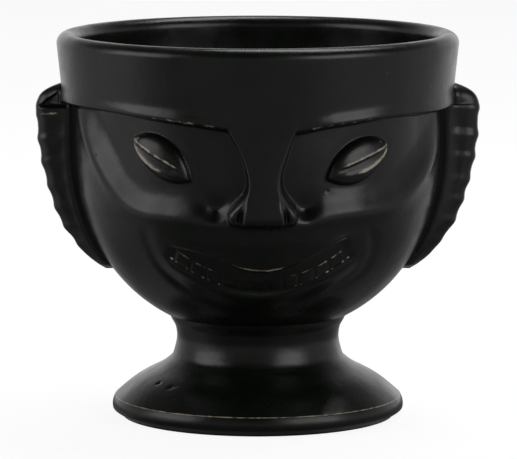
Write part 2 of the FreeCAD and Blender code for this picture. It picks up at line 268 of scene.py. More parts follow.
def feature_distances(u, z):
    """Distance inside the outline of each piece of clay luted on the bowl."""
    line = {name: through(points, z) for name, points in NOSE_LINES.items()}
    s, v = mouth_coordinates(u, z)
    above = z - through(UPPER_LIP_EDGE, u)
    corner = MOUTH_HALF - np.abs(s)
    nose = np.minimum(u - line["left_foot"], line["right_foot"] - u)
    return {
        "nose": np.minimum(nose, z - NOSE_TIP_Z + 0.7),
        "left_eye": eye_shape(u, z, EYES["left_eye"])[2],
        "right_eye": eye_shape(u, z, EYES["right_eye"])[2],
        "upper_lip": np.minimum(np.minimum(above, UPPER_LIP_HEIGHT - above), corner),
        "lower_lip": np.minimum(np.minimum(v - LOWER_LIP[0], LOWER_LIP[1] - v), corner),
        "teeth": np.minimum(np.minimum(tooth_shape(s, v), corner - 1.5), -1.0 - above),
    }


def cheek_relief(u, z):
    """Recessed basins round the eyes, which slope out to the ridge of the cheek."""
    def ridge(at):
        return np.where(at < 2.5, through(CHEEK_RIDGE_LEFT, at), through(CHEEK_RIDGE_RIGHT, at))

    slope = (ridge(u + 5.0) - ridge(u - 5.0)) / 10.0
    over = (z - ridge(u)) / np.hypot(1.0, slope)
    beside_nose = np.maximum.reduce([bell(u - pocket, 3.6) for pocket in POCKETS])
    basin = BASIN_DEPTH * smooth(over, -1.4, 8.6 - 4.9 * beside_nose) - 0.6 * bell(over, 3.0)
    basin = basin + 0.5 * beside_nose * bell(z - WING_Z - 1.2, 3.4)
    return -basin


def mouth_relief(u, z):
    """Muzzle, lips, a low row of teeth and the folds of the grin."""
    s, v = mouth_coordinates(u, z)
    above = z - through(UPPER_LIP_EDGE, u)
    corner = 1.0 - smooth(np.abs(s), MOUTH_HALF - 3.0, MOUTH_HALF + 1.0)
    middle = bell(u - 1.0, 13.0)
    muzzle = smooth(z, 38.0, 50.0) * (1.0 - smooth(z, 53.0, 62.0))
    relief = 1.3 * bell(u - MOUTH_U, 27.0) * muzzle
    lip = 0.35 + 0.65 * np.maximum(middle, 0.8 * bell(u - 27.0, 7.0))
    recess = (1.0 - smooth(above, -0.3, 0.5)) * (1.0 - smooth(v, 1.6, 3.6)) * corner
    relief = relief - (0.20 + 0.75 * lip) * recess
    relief = relief + 0.30 * bell(above - 0.7, 0.8) * corner * lip
    faint = 1.0 - 0.5 * bell(s - 1.0, 9.0)
    relief = relief + 0.26 * smooth(tooth_shape(s, v), -0.4, 0.8) * corner * faint
    relief = relief + 0.50 * smooth(v, 1.8, 4.0) * (1.0 - smooth(v, 4.2, 7.8)) * corner
    relief = relief - 0.45 * bell(v - 8.0, 2.2) * (1.0 - smooth(np.abs(s), 26.0, 36.0))
    for fold, turn in ((SMILE_LEFT, -1), (SMILE_RIGHT, 1)):
        beyond = turn * (u - through(fold, z))
        within = smooth(z, 38.0, 43.0) * (1.0 - smooth(z, 54.0, 60.0))
        relief = relief - 0.35 * bell(beyond, 2.2) * within
    return relief


def flank_profile(share, z):
    """Height of a flank of the nose from its foot (0) to its edge (1); low down it is a wing."""
    slope = smooth(share, -0.1, 1.05)
    dome = 0.66 * np.sqrt(np.clip(1.0 - ((share - 0.45) / 0.48) ** 2, 0.0, 1.0))
    wing = soft_max(dome, smooth(share, 0.55, 1.15), 0.16) - 0.01
    return slope + (wing - slope) * bell(z - WING_Z, 3.4)


def nose_relief(u, z):
    """A flat front between two sloping flanks, which swell into nostril wings."""
    line = {name: through(points, z) for name, points in NOSE_LINES.items()}
    left = (u - line["left_foot"]) / (line["left_edge"] - line["left_foot"])
    right = (line["right_foot"] - u) / (line["right_foot"] - line["right_edge"])
    nose = through(NOSE_HEIGHTS, z) * flank_profile(left, z) * flank_profile(right, z)
    tip = smooth(z, NOSE_TIP_Z - 0.7, NOSE_TIP_Z + 1.7)
    return nose * (1.0 - smooth(z, 88.0, 95.0)) * tip


def head_radius(theta, z):
    """Radius of the finished surface of the head from the seat up to the rim roll."""
    u = theta * BOWL_RADIUS
    base = bowl_radius(z)
    front = smooth(math.radians(84) - np.abs(theta), 0.0, math.radians(22))
    relief = front * cheek_relief(u, z)
    for eye in EYES.values():
        near = smooth(eye_shape(u, z, eye)[2], -3.0, -1.5)
        relief = relief + near * eye_relief(u, z, eye)
    relief = relief + mouth_relief(u, z)
    nose = nose_relief(u, z)

    # brow ledge and the forehead above it
    over_brow = z - brow_line(u)
    forehead = BOWL_RADIUS + FOREHEAD_PROUD + FOREHEAD_FLARE * (z - FOREHEAD_Z)
    ledge = smooth(over_brow, -0.35, 1.9)
    brow = (forehead - base) * ledge
    off_nose = np.abs(u - NOSE_MIDDLE)
    bulge = 0.12 + 1.0 * smooth(off_nose, 9.0, 20.0) - 0.35 * smooth(off_nose, 30.0, 46.0)
    brow = brow + bulge * bell(over_brow - 1.7, 2.3) * ledge
    rise = soft_max(brow, nose, 0.24) - 0.06
    raised = smooth(rise, 0.2, 2.2)
    surface = base + relief * (1.0 - raised) + np.maximum(rise, 0.0)
    for pit_u, pit_z in PITS:
        surface = surface - PIT_DEPTH * bell(np.hypot(u - pit_u, z - pit_z), 0.42)
    return surface


# ---- meshes ------------------------------------------------------------------------------
def write_mesh(name, points, faces, loop_normals, wear_and_highlight):
    """A mesh piece from points in millimetres, with its own shading normals and a layer that marks rubbed
    edges and the painted highlights along them.
    """
    mesh = bpy.data.meshes.new(name)
    mesh.from_pydata((np.asarray(points) * MM).tolist(), [], [list(map(int, f)) for f in faces])
    layer = mesh.attributes.new("wear_and_highlight", "FLOAT", "POINT")
    layer.data.foreach_set("value", np.asarray(wear_and_highlight, dtype=np.float32).ravel())
    mesh.polygons.foreach_set("use_smooth", np.ones(len(mesh.polygons), dtype=bool))
    mesh.update()
    mesh.normals_split_custom_set(np.asarray(loop_normals).reshape(-1, 3).tolist())
    piece = bpy.data.objects.new(name, mesh)
    bpy.context.scene.collection.objects.link(piece)
    return piece


def unit(vectors):
    return vectors / np.maximum(np.linalg.norm(vectors, axis=-1, keepdims=True), 1e-9)


def cylinder_point(theta, radius, z):
    return np.stack([radius * np.sin(theta), -radius * np.cos(theta), z], axis=-1)


def grid_normals(points):
    """Outward normals of a grid whose rows rise and whose columns run round the axis."""
    along = np.roll(points, -1, axis=1) - np.roll(points, 1, axis=1)
    return unit(np.cross(along, np.gradient(points, axis=0)))


def grid_corners(rows, columns):
    """The four point numbers of every cell of a grid, row by row; the columns close on themselves."""
    i, j = np.meshgrid(np.arange(rows), np.arange(columns), indexing="ij")
    side = (j + 1) % columns
    low, high = i * columns, (i + 1) * columns
    return np.stack([low + j, low + side, high + side, high + j], axis=-1)


def cap(rim, centre, upward):
    """Triangles from a ring of points to its middle."""
    after = np.roll(rim, -1)
    order = (rim, after) if upward else (after, rim)
    return [[a, b, centre] for a, b in zip(*order)]


def tube(name, rings, normals, wear_and_highlight=None, closed=False):
    """A closed piece from rings of points: a loop of rings, or one capped at both ends."""
    rings = np.asarray(rings)
    rows, columns = rings.shape[:2]
    points = rings.reshape(-1, 3)
    wear_and_highlight = np.zeros(len(points)) if wear_and_highlight is None else np.asarray(wear_and_highlight).ravel()
    if closed:
        corners = grid_corners(rows, columns).reshape(-1, 4) % len(points)
        return write_mesh(name, points, corners, normals.reshape(-1, 3)[corners], wear_and_highlight)
    corners = grid_corners(rows - 1, columns).reshape(-1, 4)
    ends = np.stack([rings[0].mean(axis=0), rings[-1].mean(axis=0)])
    facing = unit(ends[1:] - ends[:1])[0]
    low = cap(np.arange(columns), len(points), False)
    high = cap(np.arange(columns) + (rows - 1) * columns, len(points) + 1, True)
    shading = np.concatenate([
        normals.reshape(-1, 3)[corners].reshape(-1, 3),
        np.tile(-facing, (3 * columns, 1)),
        np.tile(facing, (3 * columns, 1)),
    ])
    faces = corners.tolist() + low + high
    return write_mesh(name, np.concatenate([points, ends]), faces, shading, np.append(wear_and_highlight, [0, 0]))


def column_angles():
    """Angles round the head: fine over the face, coarser at the sides and the back."""
    fine, rear = math.radians(48), math.radians(105)
    face = np.linspace(-fine, fine, 262, endpoint=False)
    side = np.linspace(fine, rear, 66, endpoint=False)
    back = np.linspace(rear, 2 * math.pi - rear, 64, endpoint=False)
    other_side = 2 * math.pi - np.linspace(rear, fine, 66, endpoint=False)
    return np.concatenate([face, side, back, other_side])


THETA = column_angles()
COLUMNS = len(THETA)


def ring(radius, z):
    """One plain ring of points round the axis."""
    return cylinder_point(THETA, np.full(COLUMNS, float(radius)), np.full(COLUMNS, float(z)))


def relief_edges(radius):
    """How sharply the relief stands out of its surroundings, from 0 to 1."""
    soft = radius.copy()
    for _ in range(14):
        padded = np.pad(soft, ((1, 1), (0, 0)), mode="edge")
        soft = (soft + padded[2:] + padded[:-2] + np.roll(soft, 1, 1) + np.roll(soft, -1, 1)) / 5.0
    return np.clip((radius - soft) / 0.16, 0.0, 1.0)


def worn_and_highlight_lines(u, z, radius):
    """Where handling has rubbed the black off the edges, with painted highlights along them: eyelids, lips,
    teeth and brow.
    """
    wear_and_highlight = np.zeros_like(u)
    for eye in EYES.values():
        a, b, inside = eye_shape(u, z, eye)
        outer_end = smooth(a, -11.0, -9.5) * (1.0 - smooth(a, 0.0, 4.0))
        whole = smooth(a, -11.0, -9.5) * (1.0 - smooth(a, 5.0, 7.5))
        wear_and_highlight = wear_and_highlight + 0.9 * bell(b - eye_slit(a) - 0.3, 0.34) * whole
        wear_and_highlight = wear_and_highlight + 1.1 * bell(b - eye_lid(a) - 0.15, 0.56) * outer_end
        tip = (1.0 - smooth(a, -9.0, -5.0)) * smooth(inside, 0.0, 0.5)
        wear_and_highlight = wear_and_highlight + 0.45 * smooth(b, 0.0, 1.5) * bell(inside - 1.0, 0.5) * tip
    s, v = mouth_coordinates(u, z)
    above = z - through(UPPER_LIP_EDGE, u)
    corner = 1.0 - smooth(np.abs(s), MOUTH_HALF - 2.0, MOUTH_HALF)
    tooth = tooth_shape(s, v)
    side = (1.0 - 0.95 * bell(s - 1.0, 12.0)) * (0.85 + 0.15 * smooth(s, 0.0, 12.0))
    wear_and_highlight = wear_and_highlight + 0.72 * bell(v + 1.75, 0.30) * smooth(tooth, 0.0, 0.3) * side * corner
    from_gap = (0.5 - np.abs(s / TOOTH_PITCH - np.round(s / TOOTH_PITCH))) * TOOTH_PITCH
    wear_and_highlight = wear_and_highlight + 1.1 * bell(v - 1.8, 0.42) * bell(from_gap - 0.8, 0.6) * side * corner
    lip_line = np.maximum(bell(u - 1.0, 11.0), 0.7 * bell(u - 27.0, 5.5))
    wear_and_highlight = wear_and_highlight + bell(above - 0.2, 0.34) * lip_line * corner
    over_brow = z - brow_line(u)
    off_nose = np.abs(u - NOSE_MIDDLE)
    near_nose = smooth(off_nose, 9.0, 12.0) * (1.0 - smooth(off_nose, 26.0, 40.0))
    wear_and_highlight = wear_and_highlight + 0.55 * bell(over_brow - 1.7, 0.5) * near_nose
    edges = relief_edges(radius)
    below_brow = 1.0 - smooth(over_brow, -1.0, 0.0)
    on_face = (1.0 - smooth(np.abs(u), 34.0, 42.0)) * below_brow * smooth(z, 36.0, 42.0)
    return np.clip(wear_and_highlight + 0.12 * edges * on_face, 0.0, 1.0)


def snap_to_outlines(u, z):
    """Moves the points nearest to each outline onto it, so the clay pieces end on clean curves."""
    step, reach = 0.04, 0.13
    for name in feature_distances(u[:1], z[:1]):
        def distance(at_u, at_z):
            return feature_distances(at_u, at_z)[name]

        here = distance(u, z)
        across = (distance(u + step, z) - distance(u - step, z)) / (2 * step)
        up = (distance(u, z + step) - distance(u, z - step)) / (2 * step)
        near = (np.abs(here) < reach) & (np.hypot(across, up) > 0.5)
        pull = np.where(near, here / np.maximum(across ** 2 + up ** 2, 0.25), 0.0)
        u, z = u - pull * across, z - pull * up
    return u, z


def label_cells(inside):
    """Which clay piece owns each cell, keeping only cells in a solid block of two by two."""
    names = list(inside)
    owner = np.full(inside[names[0]].shape, -1)
    best = np.full(owner.shape, 0.0)
    for index, name in enumerate(names):
        owner = np.where(inside[name] > best, index, owner)
        best = np.maximum(best, inside[name])
    kept = np.full(owner.shape, -1)
    for index in range(len(names)):
        own = owner == index
        block = own[:-1] & own[1:] & np.roll(own, -1, 1)[:-1] & np.roll(own, -1, 1)[1:]
        whole = np.zeros_like(own)
        for rows in (slice(None, -1), slice(1, None)):
            whole[rows] |= block
            whole[rows] |= np.roll(block, 1, 1)
        kept[whole] = index
    return kept, names


def cut_out(name, outer, under, normals, cells, wear_and_highlight, cells_are_bowl):
    """One closed piece of the head: the skin over its own cells, and the bed under it."""
    rows, columns = outer.shape[:2]
    corners = grid_corners(rows - 1, columns)
    count = rows * columns
    points = np.concatenate([outer.reshape(-1, 3), under.reshape(-1, 3)])
    flat = normals.reshape(-1, 3)
    own = corners[cells]
    if cells_are_bowl:
        faces = [corners[~cells], own + count]
        shading = [flat[corners[~cells]], flat[own]]
    else:
        faces = [own, (own + count)[:, ::-1]]
        shading = [flat[own], -flat[own][:, ::-1]]
    padded = np.pad(cells, ((1, 1), (0, 0)))
    beyond = [padded[:-2], np.roll(cells, -1, 1), padded[2:], np.roll(cells, 1, 1)]
    for edge in range(4):
        open_edge = cells & ~beyond[edge]
        a = corners[..., edge][open_edge]
        b = corners[..., (edge + 1) % 4][open_edge]
        wall = np.stack([b, a, a + count, b + count], axis=-1)
        wall = wall[:, ::-1] if cells_are_bowl else wall
        start = points[wall[:, 0]]
        out = unit(np.cross(points[wall[:, 1]] - start, points[wall[:, 3]] - start))
        faces.append(wall)
        shading.append(np.repeat(out[:, None, :], 4, axis=1))
    faces, shading = np.concatenate(faces), np.concatenate(shading).reshape(-1, 3)
    used, faces = np.unique(faces, return_inverse=True)
    faces = faces.reshape(-1, 4)
    wear_and_highlight = np.concatenate([wear_and_highlight.ravel(), wear_and_highlight.ravel()])[used]
    points = points[used]
    if cells_are_bowl:
        low = np.arange(columns)
        high = np.searchsorted(used, np.arange(count - columns, count))
        ends = np.array([outer[0].mean(axis=0), outer[-1].mean(axis=0)])
        caps = cap(low, len(points), False) + cap(high, len(points) + 1, True)
        points = np.concatenate([points, ends])
        wear_and_highlight = np.append(wear_and_highlight, [0, 0])
        turned = np.repeat([[0, 0, -1.0], [0, 0, 1.0]], 3 * columns, axis=0)
        return write_mesh(name, points, faces.tolist() + caps, np.concatenate([shading, turned]), wear_and_highlight)
    return write_mesh(name, points, faces, shading, wear_and_highlight)


def make_head():
    """The collar, the bowl and the clay pieces on it, all cut from one finished surface."""
    line = (THETA + math.pi) % (2 * math.pi) - math.pi
    brow = brow_line(line * BOWL_RADIUS)

    # rows climb from the seat to the brow line, then to the rim roll
    shares = np.concatenate([np.linspace(0.0, 0.10, 10, endpoint=False), np.linspace(0.10, 1.0, 166)])
    bowl_z = SEAT_Z + shares[:, None] * (brow[None, :] - SEAT_Z)
    rim_low = RIM_Z - RIM_WALL / 2.0
    climb = np.concatenate([np.linspace(0.0, 0.42, 28, endpoint=False), np.linspace(0.42, 1.0, 14)])
    collar_z = brow[None, :] + climb[:, None] * (rim_low - brow[None, :])
    skin_z = np.concatenate([bowl_z, collar_z[1:]])
    skin_u = np.broadcast_to(line * BOWL_RADIUS, skin_z.shape).copy()
    brow_row = len(bowl_z) - 1
    middle = slice(12, brow_row)
    skin_u[middle], skin_z[middle] = snap_to_outlines(skin_u[middle], skin_z[middle])
    radius = head_radius(skin_u / BOWL_RADIUS, skin_z)
    # rubbed edges of the face, with painted highlights along them
    wear_and_highlight = worn_and_highlight_lines(skin_u, skin_z, radius)
    skin = cylinder_point(skin_u / BOWL_RADIUS, radius, skin_z)

    # the bed under each clay piece, nearly flush at its outline
    inside = feature_distances(skin_u, skin_z)
    deep = np.clip(0.9 * np.maximum.reduce(list(inside.values())), 0.12, BED_DEPTH)
    bed = cylinder_point(skin_u / BOWL_RADIUS, radius - deep, skin_z)

    # rim roll, inside of the collar and the lap ledge
    half_wall = RIM_WALL / 2.0
    roll = [
        ring(RIM_RADIUS - half_wall + half_wall * math.cos(angle), rim_low + half_wall * math.sin(angle))
        for angle in np.linspace(0, math.pi, 17)[1:]
    ]
    inner_wall = [ring(inner_radius(z), z) for z in np.linspace(rim_low, LAP_Z, 12)[1:]]
    seam = skin[brow_row]
    lap = np.array([seam + t * (ring(BOWL_RADIUS, LAP_Z) - seam) for t in np.linspace(0, 1, 5)[1:]])
    full_normals = grid_normals(np.concatenate([skin, roll, inner_wall]))
    outward = np.broadcast_to(cylinder_point(THETA, np.ones(COLUMNS), np.zeros(COLUMNS)), lap.shape)
    collar = np.concatenate([skin[brow_row:], roll, inner_wall, lap[::-1]])
    collar_normals = np.concatenate([full_normals[brow_row:], -outward])
    collar_wear_and_highlight = np.zeros(collar.shape[:2])
    collar_wear_and_highlight[: len(skin) - brow_row] = wear_and_highlight[brow_row:]
    collar = tube("forehead_collar_glazed", collar, collar_normals, collar_wear_and_highlight, closed=True)
    pieces = {"forehead_collar": collar}

    # the bowl goes on over the lap, down the inside and across the floor
    floor_z = SEAT_Z + BOWL_FLOOR
    cavity = [ring(inner_radius(LAP_Z), LAP_Z)]
    for t in np.linspace(0, 1, 24)[1:-1]:
        z = LAP_Z - (LAP_Z - floor_z) * math.sin(t * math.pi / 2) ** 1.2
        share = np.clip((WIDEST_Z - z) / (WIDEST_Z - floor_z), 0, 1)
        cavity.append(ring(inner_radius(z) * (1 - share ** CAVITY_FULLNESS) ** (1 / CAVITY_FULLNESS), z))
    below = np.array([ring(POLE_RADIUS, SEAT_Z)])
    above = np.concatenate([lap, cavity, [ring(POLE_RADIUS, floor_z)]])
    outer = np.concatenate([below, skin[: brow_row + 1], above])
    under = np.concatenate([below, bed[: brow_row + 1], above])
    normals = grid_normals(outer)
    normals[1: brow_row + 2] = full_normals[: brow_row + 1]
    normals[brow_row + 2 + len(lap)] = full_normals[-1]
    bowl_wear_and_highlight = np.zeros(outer.shape[:2])
    bowl_wear_and_highlight[1: brow_row + 2] = wear_and_highlight[: brow_row + 1]

    centres = {}
    for name, values in inside.items():
        values = values[: brow_row + 1]
        beside = np.roll(values, -1, 1)
        centres[name] = (values[:-1] + values[1:] + beside[:-1] + beside[1:]) / 4.0
    owner, names = label_cells(centres)
    cells = np.full((len(outer) - 1, COLUMNS), -1)
    cells[1: brow_row + 1] = owner
    grid = (outer, under, normals)
    pieces["cup_bowl"] = cut_out("cup_bowl_glazed", *grid, cells >= 0, bowl_wear_and_highlight, True)
    for index, name in enumerate(names):
        pieces[name] = cut_out(name + "_glazed", *grid, cells == index, bowl_wear_and_highlight, False)
    return pieces


def turn(name, runs, columns, shape=None):
    """A turned piece from runs of (radius, height, rubbed edge with painted highlight); the shading is smooth
    within each run.
    """
    angles = np.linspace(-math.pi, math.pi, columns, endpoint=False)
    points, faces, shading, wear_and_highlight = [], [], [], []
    start = 0
    for run in runs:
        rings = np.array([
            cylinder_point(angles, np.full(columns, radius), np.full(columns, height))
            for radius, height, _ in run
        ])
        if shape:
            rings = shape(rings)
        normals = grid_normals(rings).reshape(-1, 3)
        corners = grid_corners(len(run) - 1, columns).reshape(-1, 4)
        faces.append(corners + start)
        shading.append(normals[corners].reshape(-1, 3))
        points.append(rings[:-1].reshape(-1, 3))
        wear_and_highlight.append(np.repeat([w for _, _, w in run[:-1]], columns))
        start += (len(run) - 1) * columns
    points.append(rings[-1])
    wear_and_highlight.append(np.zeros(columns + 2))
    first, last = runs[0][0], runs[-1][-1]
    points.append([[0, 0, first[1]], [0, 0, last[1]]])
    low = cap(np.arange(columns), start + columns, False)
    high = cap(np.arange(columns) + start, start + columns + 1, True)
    shading.append(np.repeat([[0, 0, -1.0], [0, 0, 1.0]], 3 * columns, axis=0))
    faces = np.concatenate(faces).tolist() + low + high
    return write_mesh(name, np.concatenate(points), faces, np.concatenate(shading), np.concatenate(wear_and_highlight))


# Flaws fired into the dome of the foot, as (X, Y, Z, radius): small pits in the glaze.
FOOT_PITS = [
    (-27.6, -17.4, 11.2, 0.7), (-24.0, -22.4, 10.6, 0.9), (-23.2, -27.4, 8.3, 0.6), (-22.6, -23.2, 10.9, 0.5),
]
FOOT_COLUMNS = 560
NECK_Z = 17.0                   # where the dome ends and the neck begins
ARRIS_Z = 5.5                   # height of the crisp edge between the dome and the side band
ARRIS_RADIUS = 40.05
TREAD_INNER_RADIUS = 32.2       # inside of the ring that the mug stands on
FOOT_POLE_RADIUS = 0.4

# Outside of the foot from the seat down to its arris, and the hollow down from its top, as
# (height, radius).
FOOT_OUTSIDE = [
    (28.3, 24.7), (27.2, 24.2), (25.4, 23.2), (23.5, 22.75), (22.1, 22.65), (20.8, 22.8), (19.0, 23.2),
    (17.1, 23.8), (16.5, 24.15), (16.15, 24.45), (15.9, 24.8), (15.4, 25.4), (14.6, 26.4), (13.4, 28.4),
    (12.4, 30.4), (10.8, 33.3), (9.3, 35.5), (7.6, 37.6), (6.2, 39.2), (5.5, 40.0),
]
FOOT_HOLLOW = [
    (23.3, 0.4), (23.3, 13.0), (22.6, 16.0), (20.0, 16.65), (17.1, 16.65), (10.8, 22.4), (5.4, 27.3),
    (2.4, 30.0), (0.0, 32.2),
]


def pit_foot(rings):
    """Sinks the pits into the dome, towards the axis and down."""
    for x, y, z, radius in FOOT_PITS:
        away = np.linalg.norm(rings - np.array([x, y, z]), axis=-1, keepdims=True)
        inward = unit(np.array([-x, -y, -30.0]))
        rings = rings + inward * 0.55 * radius * bell(away, radius)
    return rings


def make_foot():
    """The flared foot, from the hollow under it round its side band, dome and neck to the seat."""
    # the third value of each ring marks the arris: a rubbed edge with a painted highlight along it
    band = []
    for share in np.linspace(0, 1, 25):
        drop = ARRIS_Z * share
        swell = 0.75 * math.sin(math.pi * share ** 0.9) - 2.0 * float(smooth(drop, 3.3, ARRIS_Z))
        band.append((ARRIS_RADIUS + swell, ARRIS_Z - drop, float(bell(drop, 0.12))))
    dome = np.linspace(ARRIS_Z, NECK_Z, 50, endpoint=False)
    neck = np.linspace(NECK_Z, SEAT_Z, 34)
    wall = [
        (float(through(FOOT_OUTSIDE, height)), float(height), float(bell(height - ARRIS_Z, 0.12)))
        for height in np.concatenate([dome, neck])
    ]
    runs = [
        [(radius, height, 0.0) for height, radius in FOOT_HOLLOW],
        [(TREAD_INNER_RADIUS, 0.0, 0.0), (band[-1][0], 0.0, 0.0)],
        band[::-1],
        wall,
        [wall[-1][:2] + (0.0,), (FOOT_POLE_RADIUS, SEAT_Z, 0.0)],
    ]
    return turn("pedestal_foot_glazed", runs, FOOT_COLUMNS, pit_foot)


# ---- ears --------------------------------------------------------------------------------
# Outer edge of an ear from its lower tip to its top, as (share of its height, X, Z).
EAR_OUTLINE = [
    (0.00, 42.6, 41.0), (0.03, 44.8, 42.4), (0.08, 48.6, 45.2), (0.14, 51.6, 49.0), (0.20, 54.2, 52.4),
    (0.30, 56.9, 58.0), (0.40, 58.7, 63.6), (0.50, 60.2, 69.2), (0.60, 61.2, 74.8), (0.70, 61.8, 80.2),
    (0.78, 61.9, 84.4), (0.86, 61.6, 88.2), (0.91, 60.1, 90.6), (0.96, 56.6, 92.6), (1.00, 52.2, 94.0),
]
EAR_RIDGES = {                  # heights of the flutes
    "left_ear": [47.5, 52.4, 58.0, 64.2, 70.9, 77.4, 84.6, 87.3],
    "right_ear": [48.5, 54.2, 60.3, 65.9, 72.4, 78.6, 86.2],
}
EAR_DEPTH = 4.0                 # from the middle of an ear to its front
EAR_REAR = 1.08                 # the back of an ear stands this many times as far out
EAR_ROUND = 3.4                 # how far in from its outer edge an ear begins to round off
FLUTE_LEAN = 0.10               # the flutes drop by this much a millimetre outwards from FLUTE_X
FLUTE_X = 56.0


def make_ear(node, side):
    """A fluted flange: a rib along the head, soft ridges across it and a scalloped outer edge."""
    share = np.linspace(0.0, 1.0, 300)
    out_x = through([(t, x) for t, x, _ in EAR_OUTLINE], share)
    out_z = through([(t, z) for t, _, z in EAR_OUTLINE], share)
    in_z = EAR_LOW[2] + 0.2 + share * (EAR_HIGH[2] - EAR_LOW[2] - 1.6)
    in_x = np.where(in_z > BROW_Z, BOWL_RADIUS + 1.0, bowl_radius(in_z) - 2.0)
    flute = np.zeros_like(share)
    for ridge in EAR_RIDGES[node]:
        flute = flute + bell(out_z - ridge, 1.6)
    scalloped = smooth(share, 0.02, 0.12) * (1.0 - smooth(share, 0.80, 0.88))
    out_x = out_x - 0.5 * (1.0 - np.clip(flute, 0, 1)) * scalloped

    # across the face from the rib (0) to the outer edge (1), then back along the rear
    rounding = 0.15
    edge = 1.0 - rounding * np.cos(np.linspace(0, math.pi / 2, 14))
    across = np.concatenate([np.linspace(0.0, 1.0 - rounding, 46, endpoint=False), edge])
    x = in_x[:, None] + across * (out_x - in_x)[:, None]
    z = in_z[:, None] + across * (out_z - in_z)[:, None]
    proud = x - np.where(z > BROW_Z, BOWL_RADIUS + 2.2, bowl_radius(z))
    to_edge = np.min(np.hypot(x[:, :, None] - out_x, z[:, :, None] - out_z), axis=2)
    ridges = np.zeros_like(z)
    for ridge in EAR_RIDGES[node]:
        above = z + FLUTE_LEAN * (x - FLUTE_X) - ridge
        ridges = np.maximum(ridges, np.where(above > 0, bell(above, 1.9), bell(above, 3.4)))
    panel = smooth(proud, 1.4, 5.0)
    lobe = smooth(z, 86.4, 89.0)
    strength = 0.26 + 0.30 * smooth(z, 66.0, 84.0)
    depth = EAR_DEPTH - 0.7 * panel + strength * panel * ridges * (1.0 - lobe)
    depth = depth - 0.14 * np.maximum(proud - 2.5, 0.0) + 0.3 * bell(proud - 1.6, 1.2)
    if node == "left_ear":
        # the lobe at its top has a shallow hollow with a pointed roof
        roof = 91.4 - 0.75 * np.abs(x - 55.2)
        hollow = 1.1 * smooth(roof - z, -0.3, 0.9) * smooth(z, 86.2, 87.2) * smooth(proud, 1.2, 2.4)
        depth = depth - hollow
    round_off = np.sqrt(np.clip(1.0 - (1.0 - np.clip(to_edge / EAR_ROUND, 0.0, 1.0)) ** 2, 0.0, 1.0))
    tips = smooth(np.minimum(share, 1 - share), -0.01, 0.03)
    depth = depth * round_off * tips[:, None] + 0.02
    front = np.stack([x, -depth, z], axis=-1)
    rear = np.stack([x, EAR_REAR * depth, z], axis=-1)[:, ::-1][:, 1:]
    rings = np.concatenate([front, rear], axis=1)
    # the left ear has one rubbed line along a flute, with a painted highlight on it
    wear_and_highlight = np.zeros_like(z)
    if node == "left_ear":
        line = bell(z + FLUTE_LEAN * (x - FLUTE_X) - 85.0, 0.4)
        wear_and_highlight = 0.75 * line * panel * smooth(to_edge, 0.4, 2.0)
    wear_and_highlight = np.concatenate([wear_and_highlight, wear_and_highlight[:, ::-1][:, 1:]], axis=1)
    if side < 0:
        rings = rings[:, ::-1] * np.array([-1.0, 1.0, 1.0])
        wear_and_highlight = wear_and_highlight[:, ::-1]
    return tube(node + "_glazed", rings, grid_normals(rings), wear_and_highlight)


# ---- materials ---------------------------------------------------------------------------
BLACK_GLAZE = (0.0023, 0.0040, 0.0023, 1), (0.0053, 0.0076, 0.0048, 1)   # its mottling is between
# pale gold of rubbed edges, made light enough to stand for painted highlights along them too
WORN_AND_HIGHLIGHT_GLAZE = (0.43, 0.375, 0.295, 1)


def noise_texture(nodes, links, place, scale, detail):
    """Fractal noise over the object."""
    noise = nodes.new("ShaderNodeTexNoise")
    noise.inputs["Scale"].default_value = scale
    noise.inputs["Detail"].default_value = detail
    links.new(place.outputs["Object"], noise.inputs["Vector"])
    return noise.outputs["Fac"]


def add_noise(nodes, links, place, scale, detail, low, high):
    """Fractal noise over the object, between two values."""
    spread = nodes.new("ShaderNodeMapRange")
    spread.inputs["From Min"].default_value = 0.3
    spread.inputs["From Max"].default_value = 0.7
    spread.inputs["To Min"].default_value = low
    spread.inputs["To Max"].default_value = high
    links.new(noise_texture(nodes, links, place, scale, detail), spread.inputs["Value"])
    return spread.outputs["Result"]


def bump(nodes, links, height, strength, distance, over=None):
    """A bump from a height, over another bump if there is one."""
    node = nodes.new("ShaderNodeBump")
    node.inputs["Strength"].default_value = strength
    node.inputs["Distance"].default_value = distance
    links.new(height, node.inputs["Height"])
    if over:
        links.new(over, node.inputs["Normal"])
    return node.outputs["Normal"]


